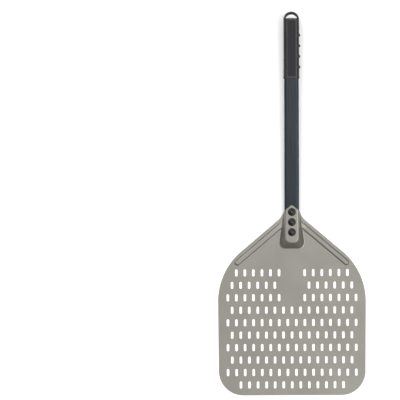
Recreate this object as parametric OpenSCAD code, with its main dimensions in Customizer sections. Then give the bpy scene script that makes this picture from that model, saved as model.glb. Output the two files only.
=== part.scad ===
// Perforated pizza peel: a pressed sheet blade riveted over a flat tube with a moulded grip.
// +Y runs along the handle, away from the blade. +Z is up. The blade's underside lies on z = 0.

/* [Overall] */
// Length of the whole peel, from the front edge to the end of the grip
overall_l = 790; // [640:5:1000]
// Rise of the handle above the blade's plane, in degrees
handle_rise = 3; // [0.5:0.5:8]

/* [Blade] */
// Greatest width of the blade
blade_w = 304.5; // [240:0.5:400]
// Front edge to the point where the shoulder lines meet the neck
blade_l = 371; // [300:1:460]
// Thickness of the sheet
sheet_t = 1.5; // [0.8:0.1:2.5]
// Angle by which each side closes towards the front edge
side_taper = 0.5; // [0:0.1:5]
// Radius of the front corners
front_corner_r = 50; // [25:1:80]
// Radius between the sides and the shoulders
shoulder_r = 135; // [60:1:150]
// Angle between each shoulder line and the handle
shoulder_angle = 49.7; // [40:0.1:60]
// Radius of the hollow curve from the shoulder into the neck
neck_r = 30; // [15:1:45]

/* [Slots] */
// Width of a slot
slot_w = 5.5; // [3:0.1:8]
// Length of a slot
slot_l = 15; // [9:0.5:20]
// Distance between slots across the blade
slot_pitch_x = 17.63; // [12:0.01:26]
// Distance between rows of slots
slot_pitch_y = 25.7; // [22:0.1:36]
// Front edge to the middle of the first row
first_row = 21.4; // [16:0.1:40]
// Number of rows
slot_rows = 10; // [1:1:10]
// Least plain land between a slot and the outline
edge_land = 10; // [6:0.5:20]
// Row in whose middle the plain disc is centred, counted from the front
plain_row = 9; // [1:1:10]
// Radius of the plain disc, where slots are left out
plain_r = 31; // [0:1:60]

/* [Ribs] */
// Shoulder edge to the middle of the rib
rib_inset = 12.3; // [9:0.1:20]
// Width of a rib at its foot
rib_w = 12; // [8:0.5:16]
// Width of a rib's crest
rib_crest_w = 5; // [2:0.5:6]
// Height of a rib above the sheet
rib_h = 2.4; // [1:0.1:4]
// Middle line of the peel to the rib's inner end
rib_from = 17; // [12:0.5:24]
// Middle line of the peel to the rib's outer end
rib_to = 117; // [60:1:130]

/* [Pressed neck] */
// Half width of the neck pressing at its foot, near its front end
hump_foot_half = 25; // [22:0.5:34]
// Half width of its flat top at the front end
hump_top_half = 13.5; // [12:0.5:18]
// Radius of the foot's corners in plan
hump_foot_r = 11; // [6:0.5:16]
// Run of the sloping front wall
hump_run = 12.5; // [10:0.5:22]
// Length of the foot at its full width
hump_full_l = 19; // [12:0.5:24]
// Shoulder point to the end of the side walls
wall_reach = 10.5; // [4:0.5:12]
// Half width of the tongue's tip at its root
tip_half = 14.2; // [10:0.1:15]
// Upper rivet to the point of the tongue
tip_reach = 13.6; // [11:0.1:20]
// Radius that blunts the point of the tongue
tip_r = 4; // [2:0.5:6]

/* [Handle tube] */
// Width of the tube
tube_w = 30; // [24:0.5:36]
// Height of the tube
tube_h = 14; // [11:0.5:20]
// Radius of the tube's corners
tube_r = 5; // [3:0.5:5.5]
// Wall of the tube
tube_wall = 1.5; // [1:0.1:2]
// Shoulder point to the tube's lower end
tube_inset = 53; // [50:0.5:60]
// Height of the tube's lower end above the blade's underside
tube_lift = 0.3; // [0.1:0.1:2]

/* [Rivets] */
// Diameter of a rivet's flange
flange_d = 16.4; // [11:0.1:18]
// Height of a rivet's head
head_h = 2.6; // [1.8:0.1:3.5]
// Diameter of the raised crown on the head
crown_d = 9.6; // [7:0.1:10]
// Diameter of the shank
shank_d = 4.8; // [4:0.1:6.4]
// Diameter of the formed tail inside the tube
tail_d = 7.4; // [6.6:0.1:9]
// Length of the formed tail
tail_l = 3.2; // [2:0.1:4]
// Diameter of the mandrel
mandrel_d = 2.8; // [2:0.1:3]
// Tube's lower end to the first rivet
rivet_from = 19.2; // [18:0.1:24]
// Distance between rivets
rivet_pitch = 20.8; // [19:0.1:26]

/* [Grip] */
// Length of the grip
grip_l = 138; // [110:1:180]
// Thickness of the moulding beside the tube
grip_side_wall = 1.3; // [1:0.1:3]
// Thickness of the moulding above and below the tube
grip_face_wall = 1.5; // [1.2:0.1:3]
// Radius of the grip's long edges
grip_edge_r = 7; // [5:0.5:8]
// Extra width of the collar at the mouth, on each side
collar_step = 0.5; // [0.2:0.1:1.5]
// Length of the collar
collar_l = 5; // [3:0.5:10]
// End of the grip to the end of the tube inside it
solid_end = 21; // [18:0.5:30]
// Width of the sunk panel on each face
panel_w = 17.6; // [12:0.2:18]
// Depth of the sunk panel
panel_sink = 0.4; // [0.2:0.1:0.6]
// End of the grip to the start of the panel
panel_from = 23; // [20:0.5:40]
// Mouth of the grip to the other end of the panel
panel_to = 8; // [6:0.5:20]

/* [Hanging eye] */
// Thickness of the loop at the very end
eye_rim = 6.5; // [4:0.5:8]
// Height of the half-moon eye
eye_h = 7.1; // [5:0.1:9]
// Radius of the eye's arc
eye_r = 13.3; // [11:0.1:14]
// Radius of the eye's two corners
eye_corner_r = 1.2; // [0.5:0.1:2]

/* [Finger ridges] */
// Number of finger ridges
ridge_count = 4; // [1:1:4]
// End of the grip to the first ridge
ridge_from = 48.8; // [42:0.1:60]
// Distance between ridges
ridge_pitch = 21.7; // [14:0.1:24]
// Height of a ridge beyond the side of the grip
ridge_h = 2.4; // [1:0.1:4]
// Thickness of a ridge
ridge_t = 5.3; // [3:0.1:8]

/* [Fits] */
// Gap between the tube and the side walls of the neck
neck_gap = 0.1; // [0.05:0.05:0.5]
// Gap all round the tube inside the grip
socket_gap = 0.05; // [0.02:0.01:0.3]
// Gap round a rivet's shank
rivet_gap = 0.05; // [0.02:0.01:0.3]
// Gap round a mandrel
mandrel_gap = 0.05; // [0.02:0.01:0.2]

/* [Hidden] */
cut = 1;
over = 0.7;
disc_t = 0.4;
step = 0.02;
tall = 80;
crest_r = 3;
neck_end_r = 2;
channel_past_tip = 5;
ridge_inset = 0.2;
mandrel_recess = 0.42;
mandrel_head_ratio = 1.6;
$fn = 96;

sheet_colour = [0.62, 0.61, 0.56];
tube_colour = [0.24, 0.26, 0.28];
grip_colour = [0.20, 0.20, 0.21];
rivet_colour = [0.10, 0.10, 0.10];
mandrel_colour = [0.30, 0.30, 0.31];

// Outline of the blade, in its own plane: x across, y from the front edge.
saddle_half = tube_w / 2 + neck_gap + sheet_t;
saddle_r = tube_r + neck_gap + sheet_t;
side_out = [cos(side_taper), -sin(side_taper)];
shoulder_out = [cos(shoulder_angle), sin(shoulder_angle)];
shoulder_along = [sin(shoulder_angle), -cos(shoulder_angle)];
neck_point = [saddle_half, blade_l];
arc_c_x = blade_w / 2 - shoulder_r;
arc_c_y = (shoulder_out * neck_point - shoulder_r - shoulder_out.x * arc_c_x) / shoulder_out.y;
arc_c = [arc_c_x, arc_c_y];
side_reach = side_out * arc_c + shoulder_r;
corner_c_x = (side_reach - front_corner_r - side_out.y * front_corner_r) / side_out.x;
corner_c = [corner_c_x, front_corner_r];
side_low = corner_c + front_corner_r * side_out;
side_high = arc_c + shoulder_r * side_out;
shoulder_start = arc_c + shoulder_r * shoulder_out;
neck_tangent = neck_r * tan(shoulder_angle / 2);
neck_c = [saddle_half + neck_r, blade_l + neck_tangent];
neck_foot = neck_point + neck_tangent * shoulder_along;
wall_end = blade_l + wall_reach;

// The rib follows the shoulder line at rib_inset.
bend_shift = sheet_t * tan(atan(2 * rib_h / (rib_w - rib_crest_w)) / 2);
rib_origin = neck_point - rib_inset * shoulder_out;
rib_start = (rib_from - rib_origin.x) / shoulder_along.x;
rib_end = (rib_to - rib_origin.x) / shoulder_along.x;
rib_ramp = (rib_w - rib_crest_w) / 2;

// The slots: rows alternate by half a pitch.
slot_reach = (slot_l - slot_w) / 2;
plain_y = first_row + (plain_row - 1) * slot_pitch_y;
slot_columns = ceil(blade_w / 2 / slot_pitch_x);

// The handle's own frame: y along the tube from its lower end, z up from its underside.
tube_start = blade_l - tube_inset;
grip_t = tube_h + 2 * grip_face_wall;
grip_half = tube_w / 2 + grip_side_wall;
handle_mid = tube_h / 2;
end_flat = grip_t / 2 - grip_edge_r;
end_drop = (handle_mid - end_flat) * sin(handle_rise);
end_run = overall_l - tube_start - grip_edge_r + end_drop;
handle_l = end_run / cos(handle_rise) + grip_edge_r;
tube_l = handle_l - solid_end;
grip_start = handle_l - grip_l;
loop_c = handle_l - grip_half;
tongue_z = tube_h + sheet_t;
tip_end = rivet_from + 2 * rivet_pitch + tip_reach;
crown_h = 0.8;
rim_h = 0.7;

// Distance from an inner point to an arc of the outline, where that arc is the nearest part.
function arc_gap(p, c, r, low, high) =
    let (v = p - c, a = atan2(v.y, v.x))
    a >= low && a <= high ? r - norm(v) : blade_w;

// Distance from a point on the +X half to the outline.
function outline_gap(p) = min(
    p.y,
    side_reach - side_out * p,
    shoulder_out * (neck_point - p),
    arc_gap(p, corner_c, front_corner_r, -90, -side_taper),
    arc_gap(p, arc_c, shoulder_r, -side_taper, shoulder_angle)
);

function slot_fits(x, y) = min(
    outline_gap([abs(x), y - slot_reach]),
    outline_gap([abs(x), y + slot_reach])
) - slot_w / 2 >= edge_land;

slot_spots = [
    for (row = [0 : slot_rows - 1])
        let (y = first_row + row * slot_pitch_y, shift = row % 2 == 1 ? 0.5 : 0)
            for (column = [-slot_columns - 1 : slot_columns])
                let (x = (column + shift) * slot_pitch_x)
                    if (slot_fits(x, y) && norm([x, y - plain_y]) > plain_r) [x, y]
];

module blade_frame() {
    translate([0, -overall_l / 2, 0]) children();
}

module handle_frame() {
    blade_frame() tongue_frame() children();
}

// Extrudes a section in x and z along the handle, from y = from to y = to.
module along_handle(from, to) {
    translate([0, to, 0]) rotate([90, 0, 0]) linear_extrude(to - from) children();
}

module both_sides() {
    children();
    mirror([1, 0, 0]) children();
}

module round_box(half_w, low, high, r) {
    for (x = [-half_w + r, half_w - r])
        for (y = [low + r, high - r]) translate([x, y]) circle(r);
    translate([-half_w, low + r]) square([2 * half_w, high - low - 2 * r]);
    translate([-half_w + r, low]) square([2 * half_w - 2 * r, high - low]);
}

module outline() {
    both_sides() {
        polygon([
            [0, 0], [corner_c.x, 0], corner_c, side_low, side_high, shoulder_start,
            neck_foot, [saddle_half, blade_l], [saddle_half, wall_end], [0, wall_end]
        ]);
        translate(corner_c) circle(front_corner_r);
        translate(arc_c) circle(shoulder_r, $fn = 256);
        neck_fillet();
    }
}

module neck_fillet() {
    intersection() {
        difference() {
            polygon([neck_point - [1, 0], neck_foot - [1, 0], neck_foot, neck_c, [neck_point.x, neck_c.y],
                [neck_point.x - 1, neck_c.y]]);
            translate(neck_c) circle(neck_r);
        }
        square([blade_w, wall_end]);
    }
}

module slot() {
    for (y = [-slot_reach, slot_reach]) translate([0, y]) circle(slot_w / 2, $fn = 32);
    square([slot_w, 2 * slot_reach], center = true);
}

module plate() {
    linear_extrude(sheet_t) difference() {
        outline();
        for (spot = slot_spots) translate(spot) slot();
    }
}

// A straight bar with sloping sides and ends, on the rib's line; shrink makes the groove under it.
// It goes on below its foot at the same slopes, by the given depth.
module rib_bar(foot_z, shrink, depth) {
    slope = rib_ramp / rib_h;
    foot = rib_w / 2 - shrink + slope * depth;
    crest = rib_crest_w / 2 - shrink;
    length = rib_end - rib_start;
    low = foot_z - depth;
    high = foot_z + rib_h;
    translate(rib_origin) rotate(shoulder_angle - 90) translate([rib_start, 0, 0])
        intersection() {
            rotate([90, 0, 90]) linear_extrude(length + rib_ramp)
                polygon([[-foot, low], [foot, low], [crest, high], [-crest, high]]);
            translate([0, rib_w, 0]) rotate([90, 0, 0]) linear_extrude(2 * rib_w) polygon([
                [0, low], [length - shrink + slope * depth, low],
                [length - rib_ramp - shrink, high], [0, high]
            ]);
        }
}

// The tapering body of the neck pressing: a wide foot on the sheet under a flat sloping top.
module neck_block(foot_z, top, shrink) {
    side_run = (hump_foot_half - hump_top_half) / tube_h;
    front_run = hump_run / tube_h;
    top_y = tube_start - crest_r + shrink;
    foot_half = hump_foot_half - shrink + side_run * over;
    foot_r = hump_foot_r - shrink;
    foot_y = top_y - hump_run - front_run * over;
    foot_low = foot_z - over - disc_t;
    crest_half = hump_top_half - shrink - side_run * over;
    crest_y = top_y + front_run * over;
    end_y = blade_l - neck_end_r;
    intersection() {
        hull() {
            both_sides() {
                for (y = [foot_y + foot_r, foot_y + hump_full_l])
                    translate([foot_half - foot_r, y, foot_low]) cylinder(disc_t, r = foot_r, $fn = 48);
                translate([saddle_half - shrink - neck_end_r, end_y, foot_low])
                    cylinder(disc_t, r = neck_end_r, $fn = 24);
            }
            tongue_frame() both_sides() {
                translate([crest_half - crest_r, crest_y - tube_start + crest_r, top + over])
                    cylinder(disc_t, r = crest_r, $fn = 32);
                translate([saddle_half - saddle_r - shrink - neck_end_r, end_y - tube_start, top + over])
                    cylinder(disc_t, r = neck_end_r, $fn = 24);
            }
        }
        tongue_frame() translate([-blade_w, -blade_l, -tall]) cube([2 * blade_w, 2 * blade_l, tall + top - step]);
    }
}

module tongue_frame() {
    translate([0, tube_start, tube_lift]) rotate([handle_rise, 0, 0]) children();
}

// The part of the neck that hugs the tube, cut to the tongue's shape in plan.
module saddle() {
    intersection() {
        tongue_frame() along_handle(rivet_from, tip_end + channel_past_tip - cut)
            round_box(saddle_half, -2 * tongue_z, tongue_z, saddle_r);
        linear_extrude(tall) tongue_plan();
    }
}

module tongue_plan() {
    tip_y = tube_start + tip_end * cos(handle_rise) - tongue_z * sin(handle_rise);
    lean = atan((tip_y - wall_end) / tip_half);
    blunt = tip_r * [sin(lean), cos(lean)];
    round_c = [0, tip_y - tip_r];
    translate([-saddle_half - cut, tube_start + rivet_from])
        square([2 * (saddle_half + cut), wall_end - tube_start - rivet_from]);
    translate(round_c) circle(tip_r);
    polygon([
        [-tip_half, wall_end - 1], [tip_half, wall_end - 1], [tip_half, wall_end],
        round_c + blunt, round_c + [-blunt.x, blunt.y], [-tip_half, wall_end]
    ]);
}

// Where the tube lies under the tongue.
module tube_channel() {
    tongue_frame() along_handle(-cut, tip_end + channel_past_tip)
        round_box(tube_w / 2 + neck_gap, -2 * tongue_z, tube_h, tube_r + neck_gap);
}

module rivet_holes() {
    tongue_frame() for (i = [0 : 2])
        translate([0, rivet_y(i), tube_h - tube_wall - cut])
            cylinder(sheet_t + tube_wall + 2 * cut, d = shank_d + 2 * rivet_gap, $fn = 48);
}

function rivet_y(i) = rivet_from + i * rivet_pitch;

module blade() {
    wall_slope = atan(tube_h / (hump_foot_half - hump_top_half));
    shrink = sheet_t * tan(wall_slope / 2);
    color(sheet_colour) blade_frame() difference() {
        union() {
            plate();
            neck_block(sheet_t, tongue_z, 0);
            saddle();
            both_sides() rib_bar(sheet_t, 0, over);
        }
        neck_block(0, tube_h, shrink);
        tube_channel();
        both_sides() rib_bar(0, bend_shift, over);
        rivet_holes();
    }
}

module tube_section(half_w, low, high, r) {
    difference() {
        round_box(half_w, low, high, r);
        round_box(half_w - tube_wall, low + tube_wall, high - tube_wall, r - tube_wall);
    }
}

module handle_tube() {
    color(tube_colour) difference() {
        handle_frame() along_handle(0, tube_l) tube_section(tube_w / 2, 0, tube_h, tube_r);
        blade_frame() rivet_holes();
    }
}

// Half-moon eye: flat towards the blade, arched towards the end.
module eye_plan() {
    arc_y = handle_l - eye_rim - eye_r;
    flat_y = handle_l - eye_rim - eye_h;
    offset(r = eye_corner_r) offset(delta = -eye_corner_r) intersection() {
        translate([0, arc_y]) circle(eye_r);
        translate([-grip_half, flat_y]) square([2 * grip_half, grip_half]);
    }
}

module finger_ridge() {
    rim = ridge_t / 2;
    reach = grip_edge_r + ridge_h + ridge_inset;
    height = grip_t - 2 * ridge_inset;
    intersection() {
        rotate([90, 0, 0]) rotate_extrude() {
            translate([reach - rim, 0]) circle(rim, $fn = 48);
            translate([0, -rim]) square([reach - rim, ridge_t]);
        }
        translate([0, -ridge_t, -height / 2]) cube([2 * reach, 2 * ridge_t, height]);
    }
}

module grip_body() {
    low = handle_mid - grip_t / 2;
    high = handle_mid + grip_t / 2;
    along_handle(grip_start, loop_c) round_box(grip_half, low, high, grip_edge_r);
    along_handle(grip_start, grip_start + collar_l)
        round_box(grip_half + collar_step, low - collar_step, high + collar_step, grip_edge_r);
    translate([0, loop_c, 0]) rotate_extrude(angle = 180) intersection() {
        round_box(grip_half, low, high, grip_edge_r);
        translate([0, low]) square([grip_half, grip_t]);
    }
    for (i = [0 : ridge_count - 1])
        translate([grip_half - grip_edge_r - ridge_inset, handle_l - ridge_from - i * ridge_pitch, handle_mid])
            finger_ridge();
}

module grip() {
    panel_l = grip_l - panel_from - panel_to;
    socket_half = tube_w / 2 + socket_gap;
    color(grip_colour) handle_frame() difference() {
        grip_body();
        along_handle(grip_start - cut, tube_l + socket_gap)
            round_box(socket_half, -socket_gap, tube_h + socket_gap, tube_r + socket_gap);
        translate([0, 0, -tall / 2]) linear_extrude(tall) eye_plan();
        for (z = [handle_mid + grip_t / 2 - panel_sink, handle_mid - grip_t / 2 - cut])
            translate([-panel_w / 2, grip_start + panel_to, z]) cube([panel_w, panel_l, panel_sink + cut]);
    }
}

// A spherical cap of the given width and height, standing on z = 0.
module cap(d, h) {
    r = (d * d / 4 + h * h) / (2 * h);
    intersection() {
        translate([0, 0, h - r]) sphere(r, $fn = 128);
        cylinder(h, d = d);
    }
}

module rivet(i) {
    crown_z = head_h - crown_h;
    under = sheet_t + tube_wall;
    color(rivet_colour) handle_frame() translate([0, rivet_y(i), tongue_z]) difference() {
        union() {
            cylinder(rim_h, d = flange_d);
            translate([0, 0, rim_h]) cap(flange_d, head_h - rim_h - crown_h / 2);
            translate([0, 0, rim_h]) cylinder(crown_z - rim_h, d = crown_d);
            translate([0, 0, crown_z]) cap(crown_d, crown_h);
            translate([0, 0, -under - tail_l]) cylinder(under + tail_l, d = shank_d);
            translate([0, 0, -under - tail_l]) cylinder(tail_l, d = tail_d);
        }
        translate([0, 0, -under - tail_l - cut])
            cylinder(under + tail_l + head_h + 2 * cut, d = mandrel_d + 2 * mandrel_gap, $fn = 48);
    }
}

// What is left of the pulling pin: a broken end in the crown and a head below the tail.
module mandrel(i) {
    under = sheet_t + tube_wall + tail_l;
    color(mandrel_colour) handle_frame() translate([0, rivet_y(i), tongue_z]) {
        translate([0, 0, -under - step])
            cylinder(under + step + head_h - mandrel_recess, d = mandrel_d, $fn = 48);
        translate([0, 0, -under - mandrel_d / 2])
            cylinder(mandrel_d / 2, d = mandrel_head_ratio * mandrel_d, $fn = 48);
    }
}

blade();
handle_tube();
grip();
rivet(0);  // rivet_lower
rivet(1);  // rivet_middle
rivet(2);  // rivet_upper
mandrel(0);  // mandrel_lower
mandrel(1);  // mandrel_middle
mandrel(2);  // mandrel_upper
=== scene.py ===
import math
import bpy
from mathutils import Matrix, Vector
from mathutils.geometry import delaunay_2d_cdt


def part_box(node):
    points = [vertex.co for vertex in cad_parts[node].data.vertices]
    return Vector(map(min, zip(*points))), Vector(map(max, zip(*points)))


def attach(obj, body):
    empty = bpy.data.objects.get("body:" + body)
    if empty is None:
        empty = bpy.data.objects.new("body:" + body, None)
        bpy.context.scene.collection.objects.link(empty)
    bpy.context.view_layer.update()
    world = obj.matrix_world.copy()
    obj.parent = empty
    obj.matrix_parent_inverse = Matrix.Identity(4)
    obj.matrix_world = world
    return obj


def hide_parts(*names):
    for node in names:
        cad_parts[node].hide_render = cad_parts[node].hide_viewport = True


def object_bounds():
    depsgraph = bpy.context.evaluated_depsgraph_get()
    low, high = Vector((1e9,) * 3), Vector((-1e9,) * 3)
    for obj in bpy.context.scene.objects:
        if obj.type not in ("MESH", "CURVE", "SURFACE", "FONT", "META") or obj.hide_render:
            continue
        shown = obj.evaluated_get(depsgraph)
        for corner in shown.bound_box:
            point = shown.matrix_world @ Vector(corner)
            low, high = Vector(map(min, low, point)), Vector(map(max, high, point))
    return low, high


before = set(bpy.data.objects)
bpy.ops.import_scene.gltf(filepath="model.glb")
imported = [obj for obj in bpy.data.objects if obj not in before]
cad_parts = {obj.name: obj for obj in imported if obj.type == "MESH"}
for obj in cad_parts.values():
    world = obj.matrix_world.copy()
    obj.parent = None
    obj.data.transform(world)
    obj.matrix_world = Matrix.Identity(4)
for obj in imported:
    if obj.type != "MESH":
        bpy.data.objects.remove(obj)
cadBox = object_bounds()
mm = 0.001
sheetLow, sheetHigh = (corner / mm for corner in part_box("blade"))
gripLow, gripHigh = (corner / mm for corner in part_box("grip"))
tubeLow, tubeHigh = (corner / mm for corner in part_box("handle_tube"))
print("frame loaded:", sorted(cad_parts))


# small helpers: lengths are in millimetres until a mesh is made
def clamp(value, low=0.0, high=1.0):
    return max(low, min(high, value))


def mix(a, b, t):
    return a + (b - a) * t


def ease(t):
    t = clamp(t)
    return t * t * (3 - 2 * t)


def polar(centre, radius, degrees):
    angle = math.radians(degrees)
    return (centre[0] + radius * math.cos(angle), centre[1] + radius * math.sin(angle))


def arcPoints(centre, radius, first, last, spacing):
    steps = max(2, math.ceil(abs(math.radians(last - first)) * radius / spacing))
    return [polar(centre, radius, mix(first, last, i / steps)) for i in range(steps + 1)]


def linePoints(start, end, spacing):
    steps = max(1, math.ceil(math.dist(start, end) / spacing))
    return [(mix(start[0], end[0], i / steps), mix(start[1], end[1], i / steps)) for i in range(steps + 1)]


def withoutRepeats(points, closed=True):
    kept = []
    for point in points:
        if not kept or math.dist(point, kept[-1]) > 0.02:
            kept.append(point)
    while closed and len(kept) > 1 and math.dist(kept[0], kept[-1]) <= 0.02:
        kept.pop()
    return kept


# height of a wall with rounded foot and crest, at a distance inward from its foot line
def softTop(inward, run, height, crestR, footR):
    slope = math.atan2(height, run)
    footT = footR * math.tan(slope / 2)
    crestT = crestR * math.tan(slope / 2)
    if inward <= -footT:
        return 0.0
    if inward < footT * math.cos(slope):
        return footR - math.sqrt(max(0.0, footR ** 2 - (inward + footT) ** 2))
    if inward < run - crestT * math.cos(slope):
        return inward * math.tan(slope)
    if inward < run + crestT:
        return height - crestR + math.sqrt(max(0.0, crestR ** 2 - (run + crestT - inward) ** 2))
    return height


# makes a smooth-shaded object from millimetres, with its own normals where they are known
def addMesh(name, vertices, faces, normals=None, matrix=None, marks=None, materialIds=None):
    mesh = bpy.data.meshes.new(name)
    mesh.from_pydata([tuple(c * mm for c in v) for v in vertices], [], faces)
    mesh.polygons.foreach_set("use_smooth", [True] * len(mesh.polygons))
    if marks:
        layer = mesh.attributes.new("edgeWear", "FLOAT", "POINT")
        layer.data.foreach_set("value", marks)
    if materialIds:
        mesh.polygons.foreach_set("material_index", materialIds)
    mesh.update()
    if normals:
        mesh.normals_split_custom_set_from_vertices([tuple(n) for n in normals])
    piece = bpy.data.objects.new(name, mesh)
    bpy.context.scene.collection.objects.link(piece)
    if matrix is not None:
        piece.matrix_world = matrix
    return piece


# the piece rides on the part's one body, in place of its plain CAD solid
def standIn(piece, node):
    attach(piece, "root")
    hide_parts(node)
    return piece


# triangles over the first loop, less the other loops, along the creases and through the inner points
def triangulate(loops, inner, creases=()):
    points, edges, starts = [], [], []
    for loop in loops + list(creases):
        first = len(points)
        starts.append(first)
        points += loop
        edges += [(first + i, first + (i + 1) % len(loop)) for i in range(len(loop))]
    points += inner
    made = delaunay_2d_cdt([Vector(p) for p in points], edges, [], 1, 1e-5)
    places, triangles, origins = made[0], made[2], made[3]
    newIndex = {}
    for index, origin in enumerate(origins):
        for old in origin:
            newIndex[old] = index
    loopIndices = [[newIndex[start + i] for i in range(len(loop))] for start, loop in zip(starts, loops)]
    holeOf = {index: number for number, loop in enumerate(loopIndices[1:]) for index in loop}
    triangles = [tri for tri in triangles if not inOneHole(holeOf, tri)]
    triangles = [tri if turnsLeft(places, tri) else tri[::-1] for tri in triangles]
    return [tuple(p) for p in places], triangles, loopIndices


# true for a triangle whose corners all lie on the edge of the same hole; every hole is convex
def inOneHole(holeOf, tri):
    holes = {holeOf.get(index) for index in tri}
    return len(holes) == 1 and None not in holes


def turnsLeft(places, tri):
    a, b, c = (places[i] for i in tri[:3])
    return (b[0] - a[0]) * (c[1] - a[1]) - (b[1] - a[1]) * (c[0] - a[0]) > 0


# the candidates that keep the least distance from the fixed points and from each other
def spreadPoints(candidates, fixed, least):
    cells = {}

    def near(x, y):
        cx, cy = math.floor(x / least), math.floor(y / least)
        for i in (-1, 0, 1):
            for j in (-1, 0, 1):
                for p in cells.get((cx + i, cy + j), ()):
                    if math.dist(p, (x, y)) < least:
                        return True
        return False

    def keep(x, y):
        cells.setdefault((math.floor(x / least), math.floor(y / least)), []).append((x, y))

    for x, y in fixed:
        keep(x, y)
    kept = []
    for x, y in candidates:
        if not near(x, y):
            keep(x, y)
            kept.append((x, y))
    return kept


# blade: one pressed sheet; x across, y from the front edge, z up from the underside
sheetShape = {
    "width": sheetHigh.x - sheetLow.x,
    "thickness": 1.5,
    "sideTaper": 0.5,          # degrees that each side closes towards the front
    "cornerR": 50.0,
    "shoulderR": 135.0,
    "shoulderAngle": 49.7,     # degrees from the handle
    "neckR": 30.0,
    "neckY": 371.0,            # where the shoulder lines meet the neck
    "wallEnd": 378.7,          # where the side walls of the neck are cut off
    "tipR": 4.0,
    "edgeR": 0.35,             # broken edge of the sheet and its slots
}
slotShape = {"width": 5.5, "length": 15.0, "pitchX": 17.63, "pitchY": 25.7, "firstRow": 21.4, "rows": 10,
             "edgeLand": 10.0, "plainRow": 9, "plainR": 31.0}
ribShape = {"inset": 12.3, "width": 12.0, "crest": 7.0, "height": 2.4, "innerX": 17.0, "outerX": 117.0,
            "crestR": 1.7, "footR": 0.8, "startShare": 0.55, "fadeLength": 18.0}
neckShape = {"footY": 302.6, "run": 12.0, "footHalf": 25.2, "endFootHalf": 17.3, "endRun": 1.5,
             "taperFrom": 317.0, "taperTo": 370.0, "cornerBlend": 15.0, "crestR": 3.2, "endCrestR": 6.0,
             "footR": 3.6, "endFootR": 2.0}
tubeShape = {"width": tubeHigh.x - tubeLow.x, "height": 14.0, "cornerR": 5.0, "wall": 1.5,
             "startY": 318.0, "lift": 0.3, "rise": 3.0, "neckGap": 0.1, "endR": 0.4}
rivetPlace = {"first": 19.2, "pitch": 20.8, "tipReach": 13.6}

t = sheetShape
frontY = sheetLow.y
rise = math.radians(tubeShape["rise"])
saddleHalf = tubeShape["width"] / 2 + tubeShape["neckGap"] + t["thickness"]
tongueZ = tubeShape["height"] + t["thickness"]
shoulder = math.radians(t["shoulderAngle"])
taper = math.radians(t["sideTaper"])
shoulderOut = (math.cos(shoulder), math.sin(shoulder))
shoulderAlong = (math.sin(shoulder), -math.cos(shoulder))
sideOut = (math.cos(taper), -math.sin(taper))
neckPoint = (saddleHalf, t["neckY"])


def dot(a, b):
    return a[0] * b[0] + a[1] * b[1]


arcX = t["width"] / 2 - t["shoulderR"]
arcC = (arcX, (dot(shoulderOut, neckPoint) - t["shoulderR"] - shoulderOut[0] * arcX) / shoulderOut[1])
sideReach = dot(sideOut, arcC) + t["shoulderR"]
cornerC = ((sideReach - t["cornerR"] - sideOut[1] * t["cornerR"]) / sideOut[0], t["cornerR"])
neckTangent = t["neckR"] * math.tan(shoulder / 2)
neckC = (saddleHalf + t["neckR"], t["neckY"] + neckTangent)
neckFoot = (neckPoint[0] + neckTangent * shoulderAlong[0], neckPoint[1] + neckTangent * shoulderAlong[1])
tipAlong = rivetPlace["first"] + 2 * rivetPlace["pitch"] + rivetPlace["tipReach"]
tipY = tubeShape["startY"] + tipAlong * math.cos(rise) - tongueZ * math.sin(rise)
wallAngle = math.degrees(math.asin((t["wallEnd"] - neckC[1]) / t["neckR"]))
wallCorner = polar(neckC, t["neckR"], 180 - wallAngle)
tipC = (0.0, tipY - t["tipR"])
tipLean = math.degrees(math.atan2(tipY - t["wallEnd"], wallCorner[0]))


# height, at a place y, of the plane that lies localZ above the tube's underside
def handleZ(y, localZ):
    along = (y - tubeShape["startY"] + localZ * math.sin(rise)) / math.cos(rise)
    return tubeShape["lift"] + along * math.sin(rise) + localZ * math.cos(rise)


def neckHeight(x, y):
    n = neckShape
    if y < n["footY"] - 6 or abs(x) > n["footHalf"] + 8:
        return 0.0
    along = clamp((y - n["taperFrom"]) / (n["taperTo"] - n["taperFrom"]))
    height = handleZ(y, tongueZ) - t["thickness"]
    run = mix(n["run"], n["endRun"], along)
    slope = height / run
    side = (mix(n["footHalf"], n["endFootHalf"], along) - abs(x)) * slope
    front = (y - n["footY"]) * slope
    blend = n["cornerBlend"]
    near = max(0.0, blend - abs(side - front)) / blend
    lower = min(side, front) - near * near * blend / 4
    return softTop(lower / slope, run, height, mix(n["crestR"], n["endCrestR"], along),
                   mix(n["footR"], n["endFootR"], along))


ribOrigin = (neckPoint[0] - ribShape["inset"] * shoulderOut[0],
             neckPoint[1] - ribShape["inset"] * shoulderOut[1])
ribStart = (ribShape["innerX"] - ribOrigin[0]) / shoulderAlong[0]
ribEnd = (ribShape["outerX"] - ribOrigin[0]) / shoulderAlong[0]


# distance along the rib's line, and across it towards the edge
def ribPlace(x, y):
    away = (abs(x) - ribOrigin[0], y - ribOrigin[1])
    return dot(away, shoulderAlong), dot(away, shoulderOut)


def ribHeight(x, y):
    along, across = ribPlace(x, y)
    half = ribShape["width"] / 2
    if abs(across) > half + 2 or along < ribStart - 12 or along > ribEnd + 2:
        return 0.0
    past = max(0.0, along - (ribEnd - half))
    inward = half - math.hypot(across, past)
    height = softTop(inward, half - ribShape["crest"] / 2, ribShape["height"],
                     ribShape["crestR"], ribShape["footR"])
    return height * mix(ribShape["startShare"], 1, ease((along - ribStart) / ribShape["fadeLength"]))


# height of the sheet's upper face: the neck and the ribs grow out of the flat, without a crease
def sheetTop(x, y):
    neck, rib = neckHeight(x, y), ribHeight(x, y)
    if neck and rib:
        return t["thickness"] + (neck ** 3 + rib ** 3) ** (1 / 3)
    return t["thickness"] + neck + rib


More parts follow.
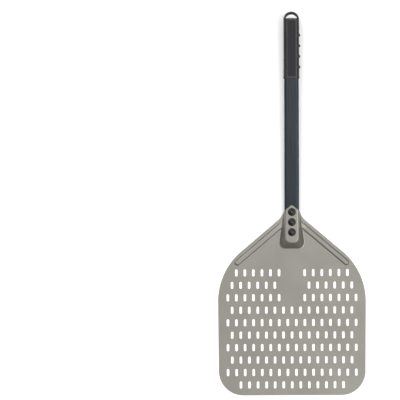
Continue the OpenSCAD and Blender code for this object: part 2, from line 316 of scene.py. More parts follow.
def sheetNormal(x, y):
    if y < 240:
        return Vector((0, 0, 1))
    d = 0.02
    dx = (sheetTop(x + d, y) - sheetTop(x - d, y)) / (2 * d)
    dy = (sheetTop(x, y + d) - sheetTop(x, y - d)) / (2 * d)
    return Vector((-dx, -dy, 1)).normalized()


# the right half of the outline, front middle to the tongue's point, moved inward by inset
def halfOutline(inset):
    edge = inset
    points = linePoints((0, edge), (cornerC[0], edge), 6)
    points += arcPoints(cornerC, t["cornerR"] - inset, -90, -t["sideTaper"], 2.5)
    low = (cornerC[0] + (t["cornerR"] - inset) * sideOut[0], cornerC[1] + (t["cornerR"] - inset) * sideOut[1])
    high = (arcC[0] + (t["shoulderR"] - inset) * sideOut[0], arcC[1] + (t["shoulderR"] - inset) * sideOut[1])
    points += linePoints(low, high, 6)
    points += arcPoints(arcC, t["shoulderR"] - inset, -t["sideTaper"], t["shoulderAngle"], 3)
    foot = (neckFoot[0] - inset * shoulderOut[0], neckFoot[1] - inset * shoulderOut[1])
    points += linePoints(points[-1], foot, 2.5)
    root = (wallCorner[0] - inset * 0.7, wallCorner[1] - inset * 0.7)
    points += arcPoints(neckC, t["neckR"] + inset, 180 + t["shoulderAngle"], 180 - wallAngle, 1.2)[:-1]
    points = [p for p in points if p[1] < root[1] - 0.1]
    tangent = polar(tipC, t["tipR"] - inset, 90 - tipLean)
    points += linePoints(root, tangent, 0.3)
    points += arcPoints(tipC, t["tipR"] - inset, 90 - tipLean, 90, 0.5)
    return points


# more points where the outline climbs the neck's wall, so that no step is higher than most
def climbing(points, most):
    kept = [points[0]]
    for point in points[1:]:
        last = kept[-1]
        steps = math.ceil(abs(sheetTop(*point) - sheetTop(*last)) / most)
        kept += [(mix(last[0], point[0], i / steps), mix(last[1], point[1], i / steps))
                 for i in range(1, steps)]
        kept.append(point)
    return kept


# a closed loop, anticlockwise, from a right half that starts and ends on the middle line
def bothHalves(half):
    left = [(-x, y) for x, y in reversed(half) if x > 0.001]
    return withoutRepeats(half + left)


# distance inward from the outline, away from the neck's hollow curves
def outlineGap(x, y):
    gaps = [y, sideReach - dot(sideOut, (x, y)), dot(shoulderOut, (neckPoint[0] - x, neckPoint[1] - y))]
    for centre, radius, low, high in ((cornerC, t["cornerR"], -90, -t["sideTaper"]),
                                      (arcC, t["shoulderR"], -t["sideTaper"], t["shoulderAngle"])):
        angle = math.degrees(math.atan2(y - centre[1], x - centre[0]))
        if low <= angle <= high:
            gaps.append(radius - math.hypot(x - centre[0], y - centre[1]))
    return min(gaps)


def slotSpots():
    s = slotShape
    reach = (s["length"] - s["width"]) / 2
    plainY = s["firstRow"] + (s["plainRow"] - 1) * s["pitchY"]
    columns = math.ceil(t["width"] / 2 / s["pitchX"])
    spots = []
    for row in range(s["rows"]):
        y = s["firstRow"] + row * s["pitchY"]
        for column in range(-columns - 1, columns + 1):
            x = (column + 0.5 * (row % 2)) * s["pitchX"]
            gap = min(outlineGap(abs(x), y - reach), outlineGap(abs(x), y + reach)) - s["width"] / 2
            if gap >= s["edgeLand"] and math.hypot(x, y - plainY) > s["plainR"]:
                spots.append((x, y))
    return spots


# a slot with round ends, clockwise, made larger by grow
def slotLoop(spot, grow):
    radius = slotShape["width"] / 2
    reach = slotShape["length"] / 2 - radius
    upper = arcPoints((spot[0], spot[1] + reach), radius + grow, 180, 0, 0.75)
    lower = arcPoints((spot[0], spot[1] - reach), radius + grow, 0, -180, 0.75)
    return withoutRepeats(upper + lower)


# half width of the sheet from the ribs to the tongue's point
def halfWidthAt(y):
    if y < neckFoot[1]:
        return neckPoint[0] + (neckPoint[1] - y) * shoulderAlong[0] / -shoulderAlong[1]
    if y < t["wallEnd"]:
        return neckC[0] - math.sqrt(max(0.0, t["neckR"] ** 2 - (y - neckC[1]) ** 2))
    return max(0.0, wallCorner[0] * (tipY - 1.6 - y) / (tipY - 1.6 - t["wallEnd"]))


# points over the neck: a plain grid at its front, and rows that follow the walls further up
def neckPoints():
    n = neckShape
    points = []
    y = n["footY"] - 5
    while y < 322:
        points += [(x * 0.9, y) for x in range(-36, 37)]
        y += 0.9
    while y < tipY - 0.8:
        along = clamp((y - n["taperFrom"]) / (n["taperTo"] - n["taperFrom"]))
        run = mix(n["run"], n["endRun"], along)
        foot = mix(n["footHalf"], n["endFootHalf"], along)
        slope = math.atan2(handleZ(y, tongueZ) - t["thickness"], run)
        footT = mix(n["footR"], n["endFootR"], along) * math.tan(slope / 2)
        crestR = mix(n["crestR"], n["endCrestR"], along)
        crestT = crestR * math.tan(slope / 2)
        inward = [-footT - d for d in (7.0, 5.8, 4.8, 3.9, 3.0, 2.1, 1.2)]
        inward += [-footT * (1 - i / 5) for i in range(5)]
        inward += [mix(0, footT * math.cos(slope), i / 3) for i in range(4)]
        wallFrom, wallTo = footT * math.cos(slope), run - crestT * math.cos(slope)
        inward += [mix(wallFrom, wallTo, i / 6) for i in range(1, 6)]
        bend = [run + crestT - crestR * math.sin(slope * (1 - i / 9)) for i in range(10)]
        inward += bend
        row = [foot - d for d in inward if foot - d > 1]
        flat = foot - bend[-1]
        row += [flat * i / 5 for i in range(1, 5)]
        points += [(side * x, y) for x in row for side in (-1, 1)] + [(0.0, y)]
        y += 1.2
    return points


def ribPoints():
    half = ribShape["width"] / 2
    steps = (0.0, 0.8, 1.6, 2.1, 2.6, 3.1, 3.8, 4.6, 5.3, 5.8, 6.3, 6.9)
    points = []
    along = ribStart + 3
    while along < ribEnd + 2.4:
        for across in sorted({side * step for step in steps for side in (-1, 1)}):
            x = ribOrigin[0] + along * shoulderAlong[0] + across * shoulderOut[0]
            y = ribOrigin[1] + along * shoulderAlong[1] + across * shoulderOut[1]
            points += [(x, y), (-x, y)]
        along += 2.4 if along < ribEnd - half - 2 else 0.55
    return points


def buildBlade():
    edgeR, thick = t["edgeR"], t["thickness"]
    outer = bothHalves(climbing(halfOutline(edgeR), 0.5))
    spots = slotSpots()
    holes = [slotLoop(spot, edgeR) for spot in spots]
    reach = slotShape["length"] / 2 + 1.2
    highSlots = [s for s in spots if s[1] > 230]

    def inSheet(p):
        if abs(p[0]) > halfWidthAt(p[1]) - 1.1 or outlineGap(abs(p[0]), min(p[1], 300.0)) < 1:
            return False
        return not any(abs(p[0] - s[0]) < 4 and abs(p[1] - s[1]) < reach for s in highSlots)

    inner = [p for p in neckPoints() if inSheet(p)]
    inner += [p for p in ribPoints() if inSheet(p) and (abs(p[0]) > 30 or neckHeight(*p) == 0)]
    inner = spreadPoints(inner, outer, 0.16)
    places, triangles, loops = triangulate([outer] + holes, inner)
    count = len(places)
    normals = [sheetNormal(x, y) for x, y in places]
    top = [Vector((x, y, sheetTop(x, y))) for x, y in places]
    vertices = top + [p - n * thick for p, n in zip(top, normals)]
    outNormals = normals + [-n for n in normals]
    wear = [0.0] * (2 * count)
    faces = [tuple(tri) for tri in triangles]
    faces += [tuple(count + i for i in reversed(tri)) for tri in triangles]
    for loop in loops:
        rimFaces(loop, top, normals, edgeR, thick, vertices, outNormals, wear, faces)
    vertices = [(v[0], v[1] + frontY, v[2]) for v in vertices]
    print("blade:", len(spots), "slots,", len(faces), "faces")
    return addMesh("bladeSheet", vertices, faces, outNormals, marks=wear)


# rounds the cut edge of the sheet, from the upper face's loop to the lower face's
def rimFaces(loop, top, normals, edgeR, thick, vertices, outNormals, wear, faces):
    size, count = len(loop), len(top)
    rings = [loop]
    turns = [30, 60, 90]
    levels = [(a, edgeR * (1 - math.cos(math.radians(a)))) for a in turns]
    levels += [(a, thick - edgeR * (1 - math.cos(math.radians(a)))) for a in reversed(turns)]
    outs = []
    for i, index in enumerate(loop):
        along = top[loop[(i + 1) % size]] - top[loop[i - 1]]
        outs.append(along.cross(normals[index]).normalized())
    for number, (turn, drop) in enumerate(levels):
        ring = []
        for i, index in enumerate(loop):
            out, normal = outs[i], normals[index]
            ring.append(len(vertices))
            vertices.append(top[index] + out * edgeR * math.sin(math.radians(turn)) - normal * drop)
            up = 1 if number < 3 else -1
            outNormals.append(out * math.sin(math.radians(turn)) + normal * up * math.cos(math.radians(turn)))
            wear.append(1.0)
        rings.append(ring)
    rings.append([count + i for i in loop])
    for upper, lower in zip(rings, rings[1:]):
        for i in range(size):
            j = (i + 1) % size
            faces.append((upper[i], lower[i], lower[j], upper[j]))


# handle frame: y along the tube from its lower end, z up from its underside
handleMatrix = Matrix.Translation((0, (frontY + tubeShape["startY"]) * mm, tubeShape["lift"] * mm)) \
    @ Matrix.Rotation(rise, 4, "X")
gripShape = {
    "length": 138.0, "half": 16.3, "thickness": 17.0, "edgeR": 7.0,
    "collarStep": 0.5, "collarLength": 5.0, "mouthR": 1.2,
    "eyeRim": 6.5, "eyeHeight": 7.1, "eyeR": 13.3, "eyeCornerR": 1.2, "eyeEdgeR": 0.9,
    "panelHalf": 8.8, "panelSink": 0.4, "panelFrom": 18.5, "panelTo": 5.2, "panelCornerR": 1.5,
    "ridges": 4, "ridgeFrom": 48.8, "ridgePitch": 21.7, "ridgeOut": 2.4, "ridgeR": 2.65, "ridgeBlend": 2.2,
    "ridgeInner": 9.4, "ridgeSink": 0.2, "ridgeEndR": 8.3, "landSlope": 0.2, "landWidth": 7.5,
    "ripple": 0.16,
}
g = gripShape
endFlat = g["thickness"] / 2 - g["edgeR"]
middleZ = tubeShape["height"] / 2
handleLength = ((cadBox[1].y / mm - frontY) - tubeShape["startY"] - g["edgeR"]
                + (middleZ - endFlat) * math.sin(rise)) / math.cos(rise) + g["edgeR"]
gripStart = handleLength - g["length"]
loopY = handleLength - g["half"]
eyeFlatY = handleLength - g["eyeRim"] - g["eyeHeight"]
eyeArcY = handleLength - g["eyeRim"] - g["eyeR"]
ridgeYs = [handleLength - g["ridgeFrom"] - i * g["ridgePitch"] for i in range(g["ridges"])]


def softMin(a, b, blend):
    near = max(0.0, blend - abs(a - b)) / blend
    return min(a, b) - near * near * blend / 4


# distance outside the grip's plan outline; negative inside
def gripGap(x, y):
    if y > loopY:
        gap = math.hypot(x, y - loopY) - g["half"]
    else:
        collar = 1 - ease((y - gripStart - g["collarLength"] + 1.5) / 3)
        gap = abs(x) - g["half"] - g["collarStep"] * collar
        if x > 0 and ridgeYs[-1] - 4 < y < ridgeYs[0] + 4:
            gap += g["ripple"] * (1 - math.cos((y - ridgeYs[0]) * 12 * math.pi / g["ridgePitch"])) / 2
    if x > 4:
        ridgeX = g["half"] + g["ridgeOut"] - g["ridgeR"]
        nearest = min(ridgeYs, key=lambda r: abs(r - y))
        gap = softMin(gap, math.hypot(x - ridgeX, y - nearest) - g["ridgeR"], g["ridgeBlend"])
    return gap


# distance outside the half-moon eye; negative inside
def eyeGap(x, y):
    r = g["eyeCornerR"]
    a = math.hypot(x, y - eyeArcY) - g["eyeR"] + r
    b = eyeFlatY - y + r
    return min(max(a, b), 0.0) + math.hypot(max(a, 0.0), max(b, 0.0)) - r


def panelGap(x, y):
    r = g["panelCornerR"]
    low, high = gripStart + g["panelTo"], handleLength - g["panelFrom"]
    a = abs(x) - g["panelHalf"] + r
    b = abs(y - (low + high) / 2) - (high - low) / 2 + r
    return min(max(a, b), 0.0) + math.hypot(max(a, 0.0), max(b, 0.0)) - r


# the panel's outline, moved outward by offset
def panelLoop(offset):
    low, high = gripStart + g["panelTo"], handleLength - g["panelFrom"]
    radius = g["panelCornerR"] + offset
    x = g["panelHalf"] - g["panelCornerR"]
    corners = [(x, high - g["panelCornerR"]), (-x, high - g["panelCornerR"]),
               (-x, low + g["panelCornerR"]), (x, low + g["panelCornerR"])]
    points = []
    for i, corner in enumerate(corners):
        arc = arcPoints(corner, radius, 90 * i, 90 * i + 90, 0.4)
        points += arc
        after = polar(corners[(i + 1) % 4], radius, 90 * i + 90)
        points += linePoints(arc[-1], after, 2.2)[1:-1]
    return withoutRepeats(points)


# how far an edge of the given radius has dropped, at a distance inward from it
def roundedDrop(inward, radius):
    if inward >= radius:
        return 0.0
    return radius - math.sqrt(max(0.0, radius ** 2 - (radius - max(inward, 0.0)) ** 2))


# the finger ridges are round bars that rise from the rail's land and run over its side
def ridgeHeight(x, y):
    if x < g["ridgeInner"] or not ridgeYs[-1] - 4 < y < ridgeYs[0] + 4:
        return 0.0
    across = min(abs(y - ridge) for ridge in ridgeYs)
    if across >= g["ridgeR"]:
        return 0.0
    fall = g["ridgeR"] - math.sqrt(g["ridgeR"] ** 2 - across ** 2)
    height = g["thickness"] / 2 - g["ridgeSink"] - 0.75 * fall
    height -= roundedDrop(g["half"] + g["ridgeOut"] - x, g["ridgeEndR"])
    return height - 3 * (1 - ease((x - g["ridgeInner"]) / 2.0))


def gripHalfHeight(x, y):
    height = g["thickness"] / 2
    inward = -gripGap(x, y)
    height -= roundedDrop(inward, g["edgeR"]) + g["landSlope"] * max(0.0, g["landWidth"] - inward)
    height = max(height, ridgeHeight(x, y))
    height -= roundedDrop(eyeGap(x, y), g["eyeEdgeR"])
    height -= roundedDrop(y - gripStart, g["mouthR"])
    height -= g["panelSink"] * ease(0.5 - panelGap(x, y) / 0.5)
    return max(height, 0.2)


def gripSideX(y, side):
    low, high = 5.0, 30.0
    for _ in range(40):
        middle = (low + high) / 2
        if gripGap(side * middle, y) < 0:
            low = middle
        else:
            high = middle
    return side * low


def gripOutline():
    ys = []
    y = gripStart
    while y < loopY - 0.2:
        ys.append(y)
        if ridgeYs[-1] - 6 < y < ridgeYs[0] + 6:
            y += 0.4
        else:
            y += 0.7 if y < gripStart + 9 else 2.5
    right = [(gripSideX(y, 1), y) for y in ys]
    left = [(gripSideX(y, -1), y) for y in ys
            if not ridgeYs[-1] - 6 < y < ridgeYs[0] + 6 or ys.index(y) % 6 == 0]
    end = arcPoints((0, loopY), g["half"], 0, 180, 0.9)
    mouth = linePoints(left[0], right[0], 0.8)[1:-1]
    return withoutRepeats(right + end + left[::-1] + mouth)


# the eye's outline, clockwise, found along rays from its middle
def eyeLoop():
    centre = (0.0, eyeFlatY + 3.0)
    points = []
    for i in range(220):
        angle = -2 * math.pi * i / 220
        low, high = 0.0, 16.0
        for _ in range(40):
            middle = (low + high) / 2
            if eyeGap(centre[0] + middle * math.cos(angle), centre[1] + middle * math.sin(angle)) < 0:
                low = middle
            else:
                high = middle
        points.append((centre[0] + low * math.cos(angle), centre[1] + low * math.sin(angle)))
    return withoutRepeats(points)


# points at several distances to the left of a loop, which is its inner side if it runs anticlockwise
def insetPoints(loop, steps):
    points = []
    for i, point in enumerate(loop):
        after, before = loop[(i + 1) % len(loop)], loop[i - 1]
        length = math.dist(after, before) or 1
        left = (-(after[1] - before[1]) / length, (after[0] - before[0]) / length)
        points += [(point[0] + left[0] * s, point[1] + left[1] * s) for s in steps]
    return points


def buildGrip():
    outer, eye = gripOutline(), eyeLoop()
    edge = [g["edgeR"] * (1 - math.cos(math.radians(a))) for a in (12, 20, 28, 37, 46, 55, 64, 73, 82, 90)]
    inner = insetPoints(outer, edge)
    eyeEdge = [g["eyeEdgeR"] * (1 - math.cos(math.radians(a))) for a in (20, 35, 50, 65, 80, 90)]
    inner += insetPoints(eye, eyeEdge)
    creases = [panelLoop(offset) for offset in (-0.25, 0.25)]
    for ridge in ridgeYs:
        inner += [(9.3 + i * 0.5, ridge + j * 0.42) for i in range(19) for j in range(-8, 9)]
    y = gripStart + 1
    while y < loopY + 16:
        inner += [(x * 2.2, y) for x in range(-3, 4)]
        y += 2.2

    def inGrip(p):
        return gripGap(*p) < -0.06 and eyeGap(*p) > 0.06 and p[1] > gripStart + 0.12

    inner = [p for p in inner if inGrip(p)]
    inner += [(x * 0.8, gripStart + d) for x in range(-19, 20) for d in (0.15, 0.35, 0.7, 1.2)
              if gripGap(x * 0.8, gripStart + d) < -0.3]
    inner = spreadPoints(inner, outer + eye + creases[0] + creases[1], 0.11)
    places, triangles, loops = triangulate([outer, eye], inner, creases)
    count = len(places)
    heights = [gripHalfHeight(x, y) for x, y in places]
    vertices = [(x, y, middleZ + h) for (x, y), h in zip(places, heights)]
    vertices += [(x, y, middleZ - h) for (x, y), h in zip(places, heights)]
    panels = [1 if max(panelGap(*places[i]) for i in tri) < 0.02 else 0 for tri in triangles]
    faces = [tuple(tri) for tri in triangles]
    faces += [tuple(count + i for i in reversed(tri)) for tri in triangles]
    materialIds = panels + panels
    mouth = []
    for loop in loops[:2]:
        size = len(loop)
        for i in range(size):
            a, b = loop[i], loop[(i + 1) % size]
            if places[a][1] < gripStart + 0.01 and places[b][1] < gripStart + 0.01:
                mouth.append((a, b))
                continue
            faces.append((a, count + a, count + b, b))
            materialIds.append(0)
    mouthRing(mouth, count, vertices, faces, materialIds)
    print("grip:", len(faces), "faces")
    return addMesh("gripMoulding", vertices, faces, matrix=handleMatrix, materialIds=materialIds)


# the end face of the moulding round the tube, and the start of its socket
def mouthRing(mouth, count, vertices, faces, materialIds):
    upper = [a for a, _ in mouth] + [mouth[-1][1]]
    ring = upper + [count + i for i in reversed(upper)]
    socketX, socketZ = tubeShape["width"] / 2 + 0.05, tubeShape["height"] / 2 + 0.05

    def socketPoint(index):
        x, z = vertices[index][0], vertices[index][2] - middleZ
        low, high = 0.0, 2.0
        for _ in range(30):
            middle = (low + high) / 2
            if roundedBoxGap(x * middle, z * middle, socketX, socketZ, tubeShape["cornerR"]) < 0:
                low = middle
            else:
                high = middle
        return x * low, z * low

    sockets = [socketPoint(i) for i in ring]
    rings = [ring]
    for depth, grow in ((0.0, 1.02), (0.35, 1.0), (9.0, 1.0)):
        rings.append([len(vertices) + i for i in range(len(ring))])
        vertices.extend((x * grow, gripStart + depth, middleZ + z * grow) for x, z in sockets)
    size = len(ring)
    for near, far in zip(rings, rings[1:]):
        for i in range(size):
            j = (i + 1) % size
            faces.append((near[i], near[j], far[j], far[i]))
            materialIds.append(0)


def roundedBoxGap(x, z, halfX, halfZ, radius):
    a, b = abs(x) - halfX + radius, abs(z) - halfZ + radius
    return min(max(a, b), 0.0) + math.hypot(max(a, 0.0), max(b, 0.0)) - radius


# handle tube
# section of the tube in x and z, anticlockwise seen from the blade, with its outward directions
def tubeSection(shrink):
    halfX, halfZ = tubeShape["width"] / 2, tubeShape["height"] / 2
    radius = tubeShape["cornerR"]
    points, outs = [], []
    for quarter, (sx, sz) in enumerate(((1, 1), (-1, 1), (-1, -1), (1, -1))):
        for i in range(11):
            angle = math.radians(90 * quarter + 9 * i)
            out = (math.cos(angle), math.sin(angle))
            points.append((sx * (halfX - radius) + (radius - shrink) * out[0],
                           middleZ + sz * (halfZ - radius) + (radius - shrink) * out[1]))
            outs.append(out)
    return points, outs


def buildTube():
    wall, endR = tubeShape["wall"], tubeShape["endR"]
    length = handleLength - 21.0
    rings = [(length - 1, wall, -1), (1.0, wall, -1)]
    rings += [(endR * (1 - math.sin(math.radians(a))), wall - endR * (1 - math.cos(math.radians(a))), a - 180)
              for a in (0, 45, 90)]
    rings += [(endR * (1 - math.sin(math.radians(a))), endR * (1 - math.cos(math.radians(a))), a)
              for a in (90, 45, 0)]
    rings += [(length * i / 12, 0.0, 0) for i in range(1, 13)]
    vertices, normals, faces = [], [], []
    for y, shrink, turn in rings:
        points, outs = tubeSection(shrink)
        angle = math.radians(turn) if turn >= 0 else math.radians(180 + turn)
        side = 1 if turn >= 0 else -1
        along = math.sin(angle)
        across = math.cos(angle) * side
        if turn == -1:
            along, across = 0.0, -1.0
        for (x, z), (ox, oz) in zip(points, outs):
            vertices.append((x, y, z))
            normals.append(Vector((ox * across, -along, oz * across)))
    size = len(tubeSection(0)[0])
    for ring in range(len(rings) - 1):
        for i in range(size):
            j = (i + 1) % size
            faces.append((ring * size + i, (ring + 1) * size + i, (ring + 1) * size + j, ring * size + j))
    last = (len(rings) - 1) * size
    faces += [(last + i, i, (i + 1) % size, last + (i + 1) % size) for i in range(size)]
    print("tube:", len(faces), "faces")
    return addMesh("flatTube", vertices, faces, normals, matrix=handleMatrix)


# rivets
rivetShape = {"flangeD": 16.4, "headHeight": 2.6, "crownD": 9.6, "crownHeight": 0.8, "rim": 0.7,
              "shankD": 4.8, "tailD": 7.4, "tailLength": 3.2, "mandrelD": 2.8, "mandrelSink": 0.45}


# turns a profile of (radius, height) points, each with a small fillet of its own, about z
def lathe(name, profile, matrix, segments=72):
    vertices, faces = [], []
    for radius, height in profile:
        for i in range(segments):
            angle = 2 * math.pi * i / segments
            vertices.append((radius * math.cos(angle), radius * math.sin(angle), height))
    for ring in range(len(profile) - 1):
        for i in range(segments):
            j = (i + 1) % segments
            faces.append((ring * segments + i, ring * segments + j,
                          (ring + 1) * segments + j, (ring + 1) * segments + i))
    faces.append(tuple(reversed(range(segments))))
    last = (len(profile) - 1) * segments
    faces.append(tuple(last + i for i in range(segments)))
    return addMesh(name, vertices, faces, matrix=matrix)


# points of a low dome, flat at its inner end
def domed(fromR, fromZ, toR, toZ, steps):
    points = []
    for i in range(steps + 1):
        share = i / steps
        radius = mix(fromR, toR, share)
        bulge = 1 - ((radius - toR) / (fromR - toR)) ** 2
        points.append((radius, mix(fromZ, toZ, bulge)))
    return points


def buildRivet(name, along):
    r = rivetShape
    flange, crown, hole = r["flangeD"] / 2, r["crownD"] / 2, r["mandrelD"] / 2 + 0.12
    under = t["thickness"] + tubeShape["wall"]
    shoulderZ = r["headHeight"] - r["crownHeight"]
    profile = [(hole, -under - r["tailLength"]), (r["tailD"] / 2 - 0.6, -under - r["tailLength"])]
    profile += [(r["tailD"] / 2 - 0.1, -under - r["tailLength"] + 0.5), (r["tailD"] / 2, -under - 1.2)]
    profile += [(r["tailD"] / 2 - 0.3, -under), (r["shankD"] / 2, -under), (r["shankD"] / 2, 0.0)]
    profile += [(flange - 0.35, 0.0), (flange - 0.1, 0.08), (flange, 0.3), (flange - 0.08, r["rim"] - 0.12)]
    profile += domed(flange - 0.3, r["rim"], crown + 0.75, shoulderZ - 0.25, 7)
    profile += [(crown + 0.4, shoulderZ - 0.26), (crown + 0.12, shoulderZ - 0.12),
                (crown - 0.05, shoulderZ + 0.15)]
    profile += domed(crown - 0.4, r["headHeight"] - 0.32, hole + 0.35, r["headHeight"], 6)
    profile += [(hole + 0.1, r["headHeight"] - 0.06), (hole, r["headHeight"] - 0.3), (hole, -under)]
    place = handleMatrix @ Matrix.Translation((0, along * mm, tongueZ * mm))
    body = lathe(name, profile, place)
    body.data.polygons[len(body.data.polygons) - 1].use_smooth = False
    return body


def buildMandrel(name, along):
    r = rivetShape
    radius = r["mandrelD"] / 2
    under = t["thickness"] + tubeShape["wall"] + r["tailLength"]
    top = r["headHeight"] - r["mandrelSink"]
    profile = [(0.2, -under - 1.35), (radius * 0.9, -under - 1.3), (radius * 1.45, -under - 0.9)]
    profile += [(radius * 1.6, -under - 0.4), (radius * 1.55, -under - 0.05),
                (radius, -under), (radius, top - 0.2)]
    profile += [(radius * 0.93, top - 0.05), (radius * 0.7, top + 0.05),
                (radius * 0.35, top - 0.08), (0.1, top - 0.12)]
    place = handleMatrix @ Matrix.Translation((0, along * mm, tongueZ * mm))
    return lathe(name, profile, place, 40)


# materials
# a Principled material with a few short-hands for its texture nodes
class Finish:
    def __init__(self, name, metallic, ior=1.5):
        self.material = bpy.data.materials.new(name)
        self.material.use_nodes = True
        self.nodes = self.material.node_tree.nodes
        self.links = self.material.node_tree.links
        self.shader = self.nodes["Principled BSDF"]
        self.shader.inputs["Metallic"].default_value = metallic
        self.shader.inputs["IOR"].default_value = ior
        self.place = self.nodes.new("ShaderNodeTexCoord").outputs["Object"]

    def stretched(self, scale):
        node = self.nodes.new("ShaderNodeMapping")
        node.inputs["Scale"].default_value = scale
        self.links.new(self.place, node.inputs["Vector"])
        return node.outputs["Vector"]

    def noise(self, scale, detail=4.0, rough=0.55, stretch=(1, 1, 1)):
        node = self.nodes.new("ShaderNodeTexNoise")
        node.inputs["Scale"].default_value = scale
        node.inputs["Detail"].default_value = detail
        node.inputs["Roughness"].default_value = rough
        self.links.new(self.stretched(stretch), node.inputs["Vector"])
        return node.outputs["Fac"]

    def cells(self, scale):
        node = self.nodes.new("ShaderNodeTexVoronoi")
        node.feature = "SMOOTH_F1"
        node.inputs["Scale"].default_value = scale
        self.links.new(self.place, node.inputs["Vector"])
        return node.outputs["Distance"]

    def ramp(self, factor, stops):
        node = self.nodes.new("ShaderNodeValToRGB")
        elements = node.color_ramp.elements
        while len(elements) < len(stops):
            elements.new(0.5)
        for element, (position, colour) in zip(elements, stops):
            element.position = position
            element.color = (*colour, 1.0)
        self.links.new(factor, node.inputs["Fac"])
        return node.outputs["Color"]

    def blendColour(self, factor, first, second, mode="MIX"):
        node = self.nodes.new("ShaderNodeMix")
        node.data_type = "RGBA"
        node.blend_type = mode
        self.links.new(factor, node.inputs["Factor"])
        for socket, value in (("A", first), ("B", second)):
            target = [s for s in node.inputs if s.name == socket and s.type == "RGBA"][0]
            if isinstance(value, tuple):
                target.default_value = (*value, 1.0)
            else:
                self.links.new(value, target)
        return [s for s in node.outputs if s.type == "RGBA"][0]

    def remap(self, factor, low, high):
        node = self.nodes.new("ShaderNodeMapRange")
        node.inputs["To Min"].default_value = low
        node.inputs["To Max"].default_value = high
        self.links.new(factor, node.inputs["Value"])
        return node.outputs["Result"]

    def add(self, first, second, scale=1.0):
        node = self.nodes.new("ShaderNodeMath")
        node.operation = "MULTIPLY_ADD"
        self.links.new(second, node.inputs[0])
        node.inputs[1].default_value = scale
        self.links.new(first, node.inputs[2])
        return node.outputs["Value"]

    def attribute(self, name):
        node = self.nodes.new("ShaderNodeAttribute")
        node.attribute_name = name
        return node.outputs["Fac"]

    def colour(self, source):
        self.links.new(source, self.shader.inputs["Base Color"])

    def roughness(self, source):
        self.links.new(source, self.shader.inputs["Roughness"])

    def bump(self, source, depth, strength=1.0):
        node = self.nodes.new("ShaderNodeBump")
        node.inputs["Strength"].default_value = strength
        node.inputs["Distance"].default_value = depth * mm
        self.links.new(source, node.inputs["Height"])
        self.links.new(node.outputs["Normal"], self.shader.inputs["Normal"])


# grey-brown oxide on pressed aluminium: cloudy, finely grained, paler where edges are rubbed
def hardAnodised():
    f = Finish("hardAnodisedSheet", 0.7)
    clouds = f.noise(14, 3, 0.5)
    grain = f.noise(2600, 3, 0.6)
    colour = f.ramp(clouds, [(0.30, (0.202, 0.197, 0.173)), (0.70, (0.226, 0.220, 0.194))])
    colour = f.blendColour(f.remap(grain, 0.0, 0.35), colour, (0.19, 0.185, 0.162))
    rubbed = f.remap(f.attribute("edgeWear"), 0.0, 0.55)
    f.colour(f.blendColour(rubbed, colour, (0.50, 0.49, 0.46)))
    f.roughness(f.add(f.remap(clouds, 0.30, 0.35), grain, 0.08))
    f.bump(f.add(grain, f.noise(520, 3, 0.5, (1, 0.35, 1)), 0.6), 0.012, 0.7)
    return f.material


# blue-black anodised tube with fine drawing lines along it
def blackAnodised():
    f = Finish("blackAnodisedTube", 0.6)
    f.shader.inputs["Specular IOR Level"].default_value = 0.12
    f.shader.inputs["Specular Tint"].default_value = (0.12, 0.12, 0.13, 1.0)
    lines = f.noise(900, 4, 0.6, (1, 0.012, 1))
    clouds = f.noise(22, 2, 0.5, (1, 0.3, 1))
    colour = f.ramp(clouds, [(0.3, (0.025, 0.030, 0.034)), (0.7, (0.034, 0.040, 0.045))])
    f.colour(f.blendColour(f.remap(lines, 0.0, 0.25), colour, (0.048, 0.053, 0.057)))
    f.roughness(f.add(f.remap(lines, 0.20, 0.30), clouds, 0.06))
    f.bump(lines, 0.01, 0.5)
    return f.material


# the grip's smooth rails: hard black plastic with a faint orange peel
def mouldedPlastic():
    f = Finish("gripRails", 0.0, 1.49)
    peel = f.noise(420, 3, 0.5)
    handled = f.noise(35, 3, 0.6)
    f.colour(f.ramp(handled, [(0.3, (0.008, 0.008, 0.009)), (0.7, (0.014, 0.014, 0.015))]))
    f.roughness(f.add(f.remap(handled, 0.26, 0.36), peel, 0.06))
    f.bump(peel, 0.02, 0.4)
    f.shader.inputs["Specular IOR Level"].default_value = 0.4
    return f.material


# the grip's sunk faces: the same plastic with a spark-eroded texture
def texturedPlastic():
    f = Finish("gripPanels", 0.0, 1.49)
    spark = f.cells(1500)
    coarse = f.noise(800, 4, 0.65)
    f.colour(f.ramp(coarse, [(0.35, (0.009, 0.009, 0.011)), (0.65, (0.017, 0.017, 0.020))]))
    f.roughness(f.remap(coarse, 0.62, 0.80))
    f.bump(f.add(spark, coarse, 1.0), 0.08, 0.7)
    f.shader.inputs["Specular IOR Level"].default_value = 0.28
    return f.material


def rivetPaint():
    f = Finish("rivetPaint", 0.0, 1.45)
    orange = f.noise(700, 2, 0.5)
    scuffs = f.noise(180, 5, 0.7)
    f.colour(f.ramp(scuffs, [(0.45, (0.006, 0.006, 0.005)), (0.75, (0.014, 0.014, 0.013))]))
    f.roughness(f.remap(scuffs, 0.10, 0.22))
    f.bump(orange, 0.01, 0.3)
    f.shader.inputs["Specular IOR Level"].default_value = 0.3
    return f.material


def brokenSteel():
    f = Finish("brokenSteel", 1.0)
    torn = f.noise(2200, 5, 0.7)
    f.colour(f.ramp(torn, [(0.3, (0.10, 0.10, 0.10)), (0.7, (0.22, 0.215, 0.21))]))
    f.roughness(f.remap(torn, 0.40, 0.65))
    f.bump(torn, 0.12, 0.8)
    return f.material


def paleFloor():
    f = Finish("paleFloor", 0.0)
    tone = f.noise(3, 2, 0.5)
    f.colour(f.ramp(tone, [(0.3, (0.90, 0.90, 0.90)), (0.7, (0.92, 0.92, 0.92))]))
    f.roughness(f.remap(tone, 0.85, 0.95))
    return f.material


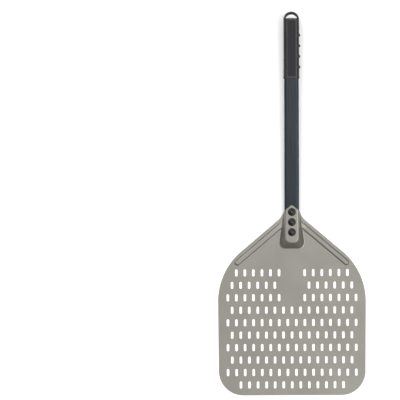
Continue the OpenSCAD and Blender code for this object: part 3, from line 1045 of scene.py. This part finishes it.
# put it together
sheet = standIn(buildBlade(), "blade")
sheet.data.materials.append(hardAnodised())
tube = standIn(buildTube(), "handle_tube")
tube.data.materials.append(blackAnodised())
grip = standIn(buildGrip(), "grip")
for finish in (mouldedPlastic(), texturedPlastic()):
    grip.data.materials.append(finish)
blackPaint, steel = rivetPaint(), brokenSteel()
for number, place in enumerate(("lower", "middle", "upper")):
    along = rivetPlace["first"] + number * rivetPlace["pitch"]
    rivet = standIn(buildRivet("rivet" + place.capitalize(), along), "rivet_" + place)
    rivet.data.materials.append(blackPaint)
    stub = standIn(buildMandrel("mandrel" + place.capitalize(), along), "mandrel_" + place)
    stub.data.materials.append(steel)


# floor, light and camera
studio = {
    "floorSize": 120.0,
    "viewWidth": 825.0,        # width of the view at the blade
    "lens": 350.0,
    "sensor": 36.0,
    "aim": (-188.9, 8.3),      # where the camera looks straight down; the peel lies right of it
    "roll": -0.22,
    "worldStrength": 0.92,
    "worldLevels": [(0.05, 0.15), (0.50, 0.38), (0.80, 0.86), (0.93, 0.62), (0.98, 0.22)],
    "key": {"strength": 1.45, "spread": 46, "azimuth": 112, "elevation": 60},
    "fill": {"strength": 0.75, "spread": 34, "azimuth": -52, "elevation": 60},
    "glint": {"strength": 0.65, "spread": 9, "azimuth": -52, "elevation": 66},
    "gripBox": {"power": 2.6, "size": (0.9, 0.7), "place": (0.16, 0.42, 1.0)},
    "frontBox": {"power": 1.4, "size": (0.6, 0.6), "place": (0.40, -0.75, 0.9)},
}


def addFloor():
    half = studio["floorSize"] / 2
    mesh = bpy.data.meshes.new("floor")
    corners = [(-half, -half, 0), (half, -half, 0), (half, half, 0), (-half, half, 0)]
    mesh.from_pydata(corners, [], [(0, 1, 2, 3)])
    floor = bpy.data.objects.new("floor", mesh)
    bpy.context.scene.collection.objects.link(floor)
    floor.location.z = -0.0002
    mesh.materials.append(paleFloor())


def addSun(name):
    sun = studio[name]
    data = bpy.data.lights.new(name, "SUN")
    data.energy = sun["strength"]
    data.angle = math.radians(sun["spread"])
    lamp = bpy.data.objects.new(name, data)
    bpy.context.scene.collection.objects.link(lamp)
    a, e = math.radians(sun["azimuth"]), math.radians(sun["elevation"])
    towards = Vector((math.sin(a) * math.cos(e), math.cos(a) * math.cos(e), math.sin(e)))
    lamp.rotation_mode = "QUATERNION"
    lamp.rotation_quaternion = towards.to_track_quat("Z", "Y")
    lamp.location = towards * 4


# a large soft light above one end of the peel; the camera looks through it
def addSoftBox(name):
    box = studio[name]
    data = bpy.data.lights.new(name, "AREA")
    data.shape = "RECTANGLE"
    data.size, data.size_y = box["size"]
    data.energy = box["power"]
    lamp = bpy.data.objects.new(name, data)
    bpy.context.scene.collection.objects.link(lamp)
    lamp.location = box["place"]
    lamp.visible_camera = False


def addWorld():
    world = bpy.data.worlds.new("studioRoom")
    bpy.context.scene.world = world
    world.use_nodes = True
    nodes, links = world.node_tree.nodes, world.node_tree.links
    background = nodes["Background"]
    background.inputs["Strength"].default_value = studio["worldStrength"]
    direction = nodes.new("ShaderNodeTexCoord")
    split = nodes.new("ShaderNodeSeparateXYZ")
    ramp = nodes.new("ShaderNodeValToRGB")
    elements = ramp.color_ramp.elements
    while len(elements) < len(studio["worldLevels"]):
        elements.new(0.5)
    for element, (position, level) in zip(elements, studio["worldLevels"]):
        element.position = position
        element.color = (level, level, level, 1.0)
    links.new(direction.outputs["Generated"], split.inputs["Vector"])
    links.new(split.outputs["Z"], ramp.inputs["Fac"])
    links.new(ramp.outputs["Color"], background.inputs["Color"])


def addCamera():
    data = bpy.data.cameras.new("overhead")
    data.lens = studio["lens"]
    data.sensor_width = studio["sensor"]
    camera = bpy.data.objects.new("overhead", data)
    bpy.context.scene.collection.objects.link(camera)
    x, y = studio["aim"]
    distance = studio["viewWidth"] * studio["lens"] / studio["sensor"]
    camera.location = (x * mm, y * mm, distance * mm)
    camera.rotation_euler.z = math.radians(studio["roll"])
    data.clip_end = 200
    bpy.context.scene.camera = camera


addFloor()
for light in ("key", "fill", "glint"):
    addSun(light)
for light in ("gripBox", "frontBox"):
    addSoftBox(light)
addWorld()
addCamera()
bpy.context.scene.view_settings.view_transform = "Standard"
print("studio ready")
